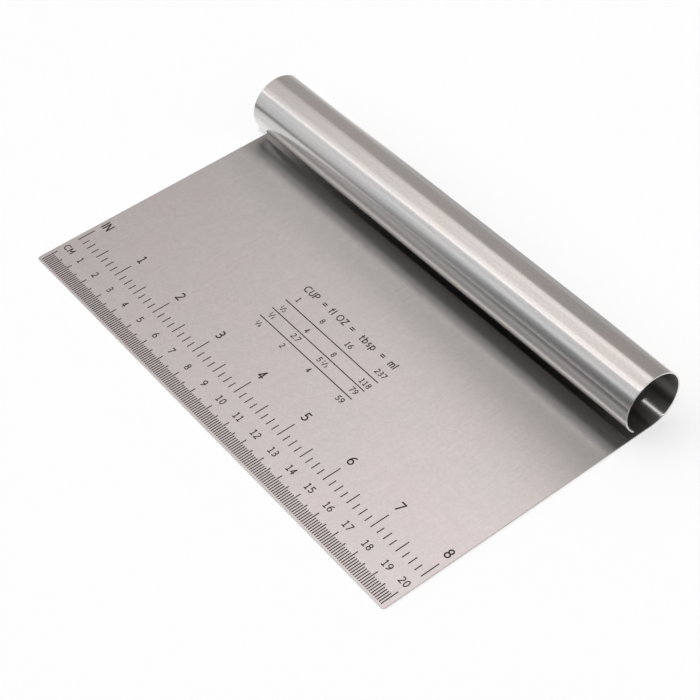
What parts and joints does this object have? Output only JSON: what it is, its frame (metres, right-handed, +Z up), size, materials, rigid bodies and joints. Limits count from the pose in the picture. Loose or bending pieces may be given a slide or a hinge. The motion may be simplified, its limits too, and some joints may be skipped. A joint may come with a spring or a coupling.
{
  "type": "dough scraper",
  "caption": "Stainless steel dough scraper: a flat rectangular blade whose back edge rolls into a hollow round handle, marked with ruler scales and a table of kitchen volumes.",
  "frame": {"origin": "centre of the footprint, on the underside of the blade", "axes": "+X along the cutting edge towards the high end of the scales, +Y from the cutting edge towards the rolled handle, +Z up out of the marked face"},
  "size_m": [0.2074, 0.125, 0.024],
  "materials": {
    "steel": "stainless: satin on the marked face and inside the roll, brushed away from the cutting edge; polished on the other side",
    "marking": "matt dark brown, etched"
  },
  "bodies": {
    "root": {"steel_sheet": "steel", "centimetre_ticks": "marking", "centimetre_numerals": "marking", "inch_ticks": "marking", "inch_numerals": "marking", "scale_units": "marking", "table_rules": "marking", "table_numerals": "marking", "table_units": "marking"}
  },
  "joints": []
}
